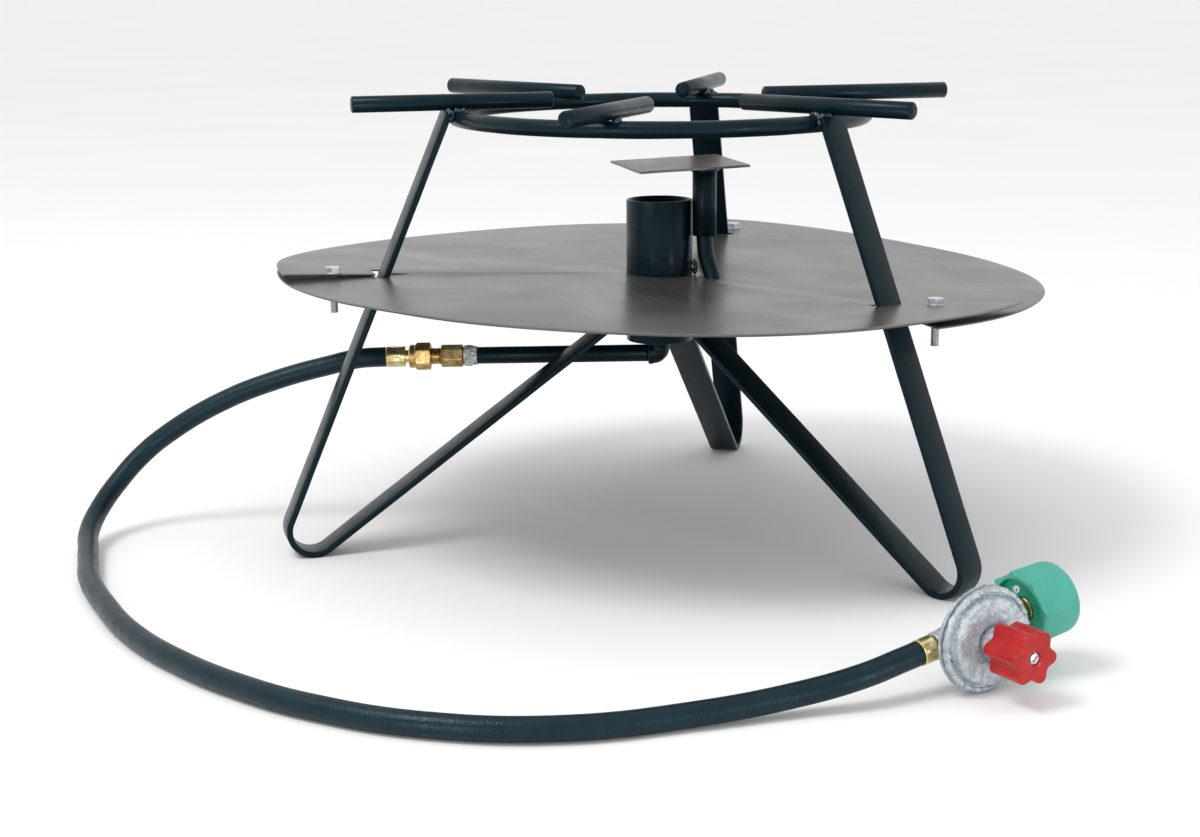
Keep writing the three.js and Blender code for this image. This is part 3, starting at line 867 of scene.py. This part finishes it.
def make_bolts():
    """Hex bolts through the lapped lips, each with a nut below."""
    for name in LEGS:
        low, high = low_high(f"shield_bolt_{name}")
        nut_low, nut_high = low_high(f"shield_nut_{name}")
        centre = Matrix.Translation(((low.x + high.x) / 2, (low.y + high.y) / 2, 0))
        under_head = high.z - BOLT_HEAD
        head = hexagon(BOLT_ACROSS, under_head, high.z, both=False)
        stud = thread(BOLT_SHANK, low.z, under_head, pitch=1.06, depth=0.45)
        washer = turned(pipe_profile(6.6, 3.4, under_head - WASHER, under_head, 0.2), 48)
        piece(f"bolt_{name}", joined(head, stud, washer), "stand", ZINC, centre,
              [f"shield_bolt_{name}"])
        nut = hexagon(BOLT_ACROSS, nut_low.z, nut_high.z, bore=3.2)
        turn = Matrix.Rotation(math.radians(17), 4, "Z")
        piece(f"nut_{name}", nut, "stand", ZINC, centre @ turn, [f"shield_nut_{name}"])


make_bolts()


# ---- Gas line: its own Z is the line's axis -----------------------------------------------------

PIPE_OUTER, PIPE_BORE = 6.85, 4.6


def make_gas_line():
    pipe = turned(pipe_profile(PIPE_OUTER, PIPE_BORE, -166, -3, 0.5), 48)
    piece("pipe", lumpy(pipe, 0.12, 9), "stand", PAINT, GAS, ["gas_pipe"], crease=60)

    bend = 5
    corner = []
    for i in range(1, 8):
        angle = TAU / 4 * i / 8
        corner.append((Vector((bend - bend * math.cos(angle), 0, -bend + bend * math.sin(angle))), angle))
    stations = [(Vector((0, 0, -9)), 0, 8.6), (Vector((0, 0, -8.6)), 0, 9), (Vector((0, 0, -5.4)), 0, 9),
                (Vector((0, 0, -4.8)), 0, 8.3)]
    stations += [(p, angle, 8.3) for p, angle in corner]
    stations += [(Vector((6.6, 0, 0)), TAU / 4, 8.3), (Vector((7.4, 0, 0)), TAU / 4, 9),
                 (Vector((12.6, 0, 0)), TAU / 4, 9), (Vector((13, 0, 0)), TAU / 4, 8.6)]
    rings = []
    for p, angle, radius in stations:
        across = Vector((math.cos(angle), 0, -math.sin(angle)))
        rings.append([p + across * x + Vector((0, y, 0)) for x, y in round_section(radius, 40)])
    elbow = lumpy(skin(rings, caps=True), 0.5, 5)
    piece("elbow", elbow, "stand", PAINT, GAS, ["pipe_elbow"], crease=60)

    def ragged(angle, r, z):
        wave = noise.noise(Vector((math.cos(angle) * 3, math.sin(angle) * 3, z / 4)))
        fold = noise.noise(Vector((math.cos(angle) * 9, math.sin(angle) * 9, z)))
        return r + (0.9 * wave + 0.5 * fold if r > 7.3 else 0), z + (1.4 * wave if r > 7.3 else 0)

    seal = turned([(7.2, -158), (8, -157.6), (8.4, -156), (8.3, -153.6), (7.9, -151.5), (7.6, -149),
                   (7.4, -147.6), (7.2, -147)], 120, ragged)
    piece("tape", seal, "stand", SEAL, GAS, ["thread_seal"], crease=80)

    adapter = joined(
        moved(hexagon(16, -176.3, -158.5, bore=7.2), Matrix.Rotation(math.radians(12), 4, "Z")),
        thread(6.8, -190, -176, pitch=1.4, depth=0.6),
        turned([(0, -193.2), (3.6, -193.2), (6.6, -190.2), (6.6, -189.6), (0, -189.6)], 48),
    )
    piece("adapter", adapter, "stand", BRASS, GAS, ["hose_adapter"])

    nut = joined(
        moved(hexagon(19.5, -196.7, -184.4, bore=7.3), Matrix.Rotation(math.radians(24), 4, "Z")),
        turned([(5.6, -202), (8.6, -202), (9.4, -201), (9.4, -197.4), (10, -196.7), (5.6, -196.7)], 64),
    )
    piece("swivel_nut", nut, "flare_nut", BRASS, GAS, ["flare_nut"])

    stem = ferrule(8.4, -220.3, -205, 5.2)
    neck = turned([(3.4, -206), (5.2, -206), (5.2, -196.4), (6.9, -195.2), (6.9, -190.8), (3.4, -194)], 48)
    return piece("stem", joined(stem, neck), "stand", FERRULE_BRASS, GAS, ["hose_stem"], crease=40)


def ferrule(radius, low, high, bore):
    """A crimped sleeve: eight flats pressed into its middle, plain bands at its ends."""
    def crimp(angle, r, z):
        share = (z - low) / (high - low)
        press = fade(abs(share - 0.5) / 0.5) if r > bore + 1 else 0
        return r - press * (0.35 + 0.35 * math.cos(8 * angle)), z

    profile = [(bore, low)]
    outer = [(radius - 0.4, 0), (radius, 0.4), (radius, 0.14 * (high - low))]
    profile += [(r, low + z) for r, z in outer]
    profile += [(radius, low + (high - low) * t) for t in (0.26, 0.38, 0.5, 0.62, 0.74, 0.86)]
    profile += [(radius, high - 0.4), (radius - 0.4, high), (bore, high)]
    return turned(profile, 96, crimp)


stem = make_gas_line()


# ---- Regulator: its own Z is the knob's axis ----------------------------------------------------

def crimped(angle, r, z):
    """Bumps of the crimped joint, round the flange's front."""
    if 31 < r < 34.2 and z > 3:
        return r, z + 1.2 * max(0, math.cos(26 * angle)) ** 3
    if r >= 34.2:
        return r + 0.25 * math.cos(26 * angle) - 0.2, z
    return r, z


EYELET = math.radians(41)  # where the wire's eyelet stands on the flange


def make_regulator():
    pieces = []
    body = joined(
        turned([(0, -24), (13, -24), (15.5, -23.2), (18, -21), (20, -17), (23, -11.5), (25.4, -7), (27.6, -5),
                (33.6, -3.6), (34.5, -3), (34.5, -1), (34, -0.8), (0, -0.8)], 128),
        moved(turned([(4, -28.3), (8.4, -28.3), (9, -27.7), (9.3, -22), (10, -14), (4, -12)], 48),
              REGULATOR.inverted() @ PORT),
        moved(turned([(5, 12), (11.4, 12), (11, 22), (11, 33.3), (10.4, 34), (5, 34)], 48),
              REGULATOR.inverted() @ PORT),
    )
    pieces.append(piece("body_casting", lumpy(body, 0.35, 5), "stand", CAST, REGULATOR,
                        ["regulator_body"], crease=40))
    bonnet = turned([
        (26, 0.8), (33.6, 0.8), (34.6, 1.2), (34.6, 3), (33.9, 3.8), (32.6, 4.3), (31.2, 4.2), (30.5, 3.2),
        (29.6, 3), (29, 3.6), (28.5, 5.2), (28.1, 8.3), (27.6, 9.2), (26.6, 9.6), (22, 9.85), (17, 10.05),
        (13.7, 10.2), (13.2, 9.9), (13, 9.3), (12.9, 8.4), (11.7, 8.4), (9.3, 8.3), (9.3, 6.2), (25, 6)],
        208, crimped)
    pieces.append(piece("bonnet_casting", lumpy(bonnet, 0.28, 4, 7), "stand", CAST, REGULATOR,
                        ["regulator_bonnet"], crease=40))
    neck = turned([(9.3, 8.3), (11.6, 8.3), (11.5, 9), (11.4, 15), (11.2, 23.3), (10.6, 24.2), (9.8, 24.4),
                   (4.6, 24.4), (4.4, 24), (4.4, 18.5), (9.3, 18.5)], 96)
    pieces.append(piece("bonnet_neck", neck, "stand", NECK, REGULATOR, crease=40))
    # Painted shade: no vent hole is cut; a small dark disc set in the groove stands for the shade inside it.
    vent_shade = turned([(0, 2.4), (1.1, 2.4), (1.1, 3.25), (0, 3.25)], 20)
    vent_shade_at = REGULATOR @ Matrix.Translation(polar(29.9, math.radians(188), 0))
    pieces.append(piece("vent_hole_shade", vent_shade, "stand", RUBBER, vent_shade_at))
    nipple = turned([(3, 34.3), (7.9, 34.3), (7.9, 44), (7.4, 44.6), (7.4, 46), (7.9, 46.6), (7.9, 55.4),
                     (11.2, 55.4), (11.5, 55.7), (11.5, 57), (11.1, 57.4), (7.6, 58), (7.6, 64.6), (7, 65.4),
                     (5.4, 66.8), (3.4, 67), (3, 66.6)], 64)
    pieces.append(piece("nipple", nipple, "stand", BRASS, PORT, ["inlet_nipple"]))
    eyelet_at = REGULATOR @ Matrix.Translation(polar(37.2, EYELET, 1.6)) @ Matrix.Rotation(EYELET, 4, "Z")
    eyelet = turned([(1, -1), (2.1, -1.1), (2.5, -0.6), (2.5, 0.6), (2.1, 1.1), (1, 1)], 32)
    pieces.append(piece("flange_eyelet", eyelet, "stand", CAST, eyelet_at))
    outlet = ferrule(8.5, -41, -30.4, 6.2)
    pieces.append(piece("outlet_sleeve", outlet, "stand", FERRULE_BRASS, PORT, ["outlet_ferrule"],
                        crease=40))
    return pieces


def make_wire():
    """A thin wire loop with twisted ends over the inlet."""
    curve = bpy.data.curves.new("wire_loop", "CURVE")
    curve.dimensions = "3D"
    curve.bevel_depth = 0.6 * MM
    curve.bevel_resolution = 3
    spline = curve.splines.new("BEZIER")
    count = 26
    spline.bezier_points.add(count)
    for i, point in enumerate(spline.bezier_points):
        angle = TAU * 1.04 * i / count
        r = 13.2 + 0.5 * math.sin(3 * angle) + (0.7 if i == count else 0)
        place = Vector((r * math.cos(angle), r * math.sin(angle), 36.6 + 1.3 * math.sin(2 * angle + 1)))
        point.co = (PORT @ place) * MM
        point.handle_left_type = point.handle_right_type = "AUTO"
    curve.materials.append(FERRULE_BRASS)
    wire = bpy.data.objects.new("wire_loop", curve)
    bpy.context.collection.objects.link(wire)
    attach(wire, "stand")
    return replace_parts(wire, "seal_wire")


KNOB_BACK, KNOB_FRONT, KNOB_RADIUS, KNOB_LOBE = 19.6, 47.6, 15.9, 2.2
KNOB_TURN = math.radians(-16)


def make_knob():
    """A six-lobed knob: rounded front edge, recess for its screw, hollow behind."""
    count = 180

    def lobed(inset, z):
        ring = []
        for i in range(count):
            angle = TAU * i / count
            wave = math.cos(6 * (angle - KNOB_TURN))
            r = KNOB_RADIUS + KNOB_LOBE * (wave if wave < 0 else wave ** 0.8) - inset
            ring.append(Vector((r * math.cos(angle), r * math.sin(angle), z)))
        return ring

    front = KNOB_FRONT
    rings = [circle(12.2, KNOB_BACK, count), lobed(0.5, KNOB_BACK), lobed(0.1, KNOB_BACK + 0.4),
             lobed(0, KNOB_BACK + 1), lobed(0, front - 9), lobed(0, front - 1.4), lobed(0.12, front - 0.8),
             lobed(0.5, front - 0.3), lobed(1.1, front - 0.05), lobed(2, front),
             circle(8, front - 0.25, count), circle(4.9, front - 0.3, count),
             circle(4.4, front - 0.7, count), circle(4, front - 2, count),
             circle(4.3, front - 2.2, count), circle(4.3, 31, count), circle(12.2, 31, count)]
    knob = piece("knob_grip", skin(rings, loop=True), "knob", RED, REGULATOR, ["knob"],
                 crease=46)
    head = turned([(0, front - 1.9), (3.2, front - 1.9), (3.5, front - 1.6), (3.4, front - 0.9),
                   (2.6, front - 0.5), (0, front - 0.4)], 40)
    # Painted shade: the screw head has no slot cut in it; a dark bar set into its face stands for the shade in the
    # slot.
    slot_low = front - 1.1
    slit = [[Vector((x, y, z)) for x, y in ((-2.6, -0.35), (2.6, -0.35), (2.6, 0.35), (-2.6, 0.35))]
            for z in (slot_low, front - 0.3)]
    screw = piece("knob_screw_head", head, "knob", ZINC, REGULATOR, ["knob_screw"])
    turn = Matrix.Rotation(math.radians(35), 4, "Z")
    dark = piece("knob_screw_slot_shade", skin(slit, caps=True), "knob", RUBBER, REGULATOR @ turn)
    return [knob, screw, dark]


NUT_NEAR, NUT_WEB, NUT_WEB_END, NUT_FAR, NUT_RADIUS = 42.5, 47, 50, 75, 24.5
NUT_TURN = math.radians(-8.75)


def make_coupling_nut():
    """Ribbed plastic nut: eight ribs that fade before its rounded far end, two sockets inside."""
    count = 192

    def ribbed(z, radius, share):
        ring = []
        for i in range(count):
            angle = TAU * i / count
            wave = math.cos(8 * (angle - NUT_TURN))
            r = radius + share * (2.3 * max(0, wave) ** 5 - 0.35 * max(0, -wave))
            ring.append(Vector((r * math.cos(angle), r * math.sin(angle), z)))
        return ring

    inside = NUT_RADIUS - 3
    near = [circle(8.4, NUT_WEB, count), circle(inside, NUT_WEB, count),
            circle(inside, NUT_NEAR + 0.4, count), circle(inside + 0.3, NUT_NEAR, count)]
    outer = [ribbed(NUT_NEAR, NUT_RADIUS - 0.3, 1), ribbed(NUT_NEAR + 0.4, NUT_RADIUS, 1),
             ribbed(NUT_NEAR + 5, NUT_RADIUS, 0.9), ribbed(NUT_NEAR + 12, NUT_RADIUS, 0.7),
             ribbed(NUT_FAR - 13, NUT_RADIUS, 0.55), ribbed(NUT_FAR - 10, NUT_RADIUS, 0.42),
             ribbed(NUT_FAR - 8.4, NUT_RADIUS - 0.1, 0.16), ribbed(NUT_FAR - 7, NUT_RADIUS - 0.15, 0.03),
             circle(NUT_RADIUS - 0.2, NUT_FAR - 4.6, count), circle(NUT_RADIUS - 0.7, NUT_FAR - 2.6, count),
             circle(NUT_RADIUS - 1.5, NUT_FAR - 1.1, count), circle(NUT_RADIUS - 2.4, NUT_FAR - 0.3, count),
             circle(NUT_RADIUS - 3.2, NUT_FAR, count)]
    far = [circle(inside - 1, NUT_FAR - 0.4, count), circle(inside - 1, NUT_WEB_END, count),
           circle(8.4, NUT_WEB_END, count)]
    made = skin(near + outer + far, loop=True)
    made.faces.ensure_lookup_table()
    # Faces inside the near socket take the recoloured copy of the green: painted light.
    for face in made.faces:
        centre = face.calc_center_median()
        if math.hypot(centre.x, centre.y) < inside + 0.4 and centre.z < NUT_WEB + 0.5:
            face.material_index = 1
    return piece("green_nut", made, "coupling_nut", [GREEN, GREEN_SOCKET_PAINTED_LIGHT], PORT,
                 ["coupling_nut"], crease=46)


regulator_pieces = make_regulator()
knob_pieces = make_knob()
wire = make_wire()
green_nut = make_coupling_nut()


# ---- CAD pieces that stay: inner parts, and the rest of the finishes ----------------------------

def finish_cad(node, material):
    mesh = frame["nodes"][node].data
    mesh.materials.clear()
    mesh.materials.append(material)
    for polygon in mesh.polygons:
        polygon.use_smooth = True
    mesh.set_sharp_from_angle(angle=math.radians(35))


SLOTS = {part["node"]: part["material_slot"] for part in frame["record"]["subparts"]}
FINISHES = {"brass": BRASS, "rubber": RUBBER, "zinc_plate": ZINC, "spring_steel": ZINC}
KEPT = ["gas_jet", "diaphragm", "pressure_spring", "spring_button", "adjusting_screw", "nipple_seal"]
for kept in KEPT:
    finish_cad(kept, FINISHES[SLOTS[kept]])


# ---- Pieces on the hose, listed -----------------------------------------------------------------

ON_HOSE = [stem, bpy.data.objects["swivel_nut"], wire, green_nut, *regulator_pieces, *knob_pieces]
ON_HOSE += [frame["nodes"][n] for n in KEPT if n != "gas_jet"]


# ---- Floor and light ----------------------------------------------------------------------------

def make_floor():
    made = bmesh.new()
    bmesh.ops.create_grid(made, x_segments=2, y_segments=2, size=30)
    mesh = bpy.data.meshes.new("floor")
    made.to_mesh(mesh)
    made.free()
    floor = bpy.data.objects.new("floor", mesh)
    look = Look("floor", Roughness=0.9)
    look.colour(look.blend(look.ramp(look.noise(2), 0.3, 0.7), (0.9, 0.9, 0.9), (0.92, 0.92, 0.92)))
    mesh.materials.append(look.material)
    bpy.context.collection.objects.link(floor)


def soft_light(name, place, target, size, power):
    lamp = bpy.data.lights.new(name, "AREA")
    lamp.shape = "RECTANGLE"
    lamp.size, lamp.size_y = size
    lamp.energy = power
    holder = bpy.data.objects.new(name, lamp)
    holder.location = place
    holder.rotation_euler = (Vector(target) - Vector(place)).to_track_quat("-Z", "Y").to_euler()
    holder.visible_camera = False
    bpy.context.collection.objects.link(holder)


def make_studio():
    world = bpy.data.worlds.new("studio")
    bpy.context.scene.world = world
    world.use_nodes = True
    background = world.node_tree.nodes["Background"]
    background.inputs["Color"].default_value = (1, 1, 1, 1)
    background.inputs["Strength"].default_value = 0.95
    soft_light("key", (-1.3, -1.1, 2.5), (0, 0, 0.2), (1, 1), 36)
    soft_light("left strip", (-0.68, -1.58, 0.13), (0, 0, 0.2), (0.16, 0.2), 2.6)
    soft_light("right strip", (1.16, -1.24, 0.13), (0, 0, 0.2), (0.16, 0.2), 3.2)
    bpy.context.scene.view_settings.view_transform = "Standard"


make_floor()
make_studio()
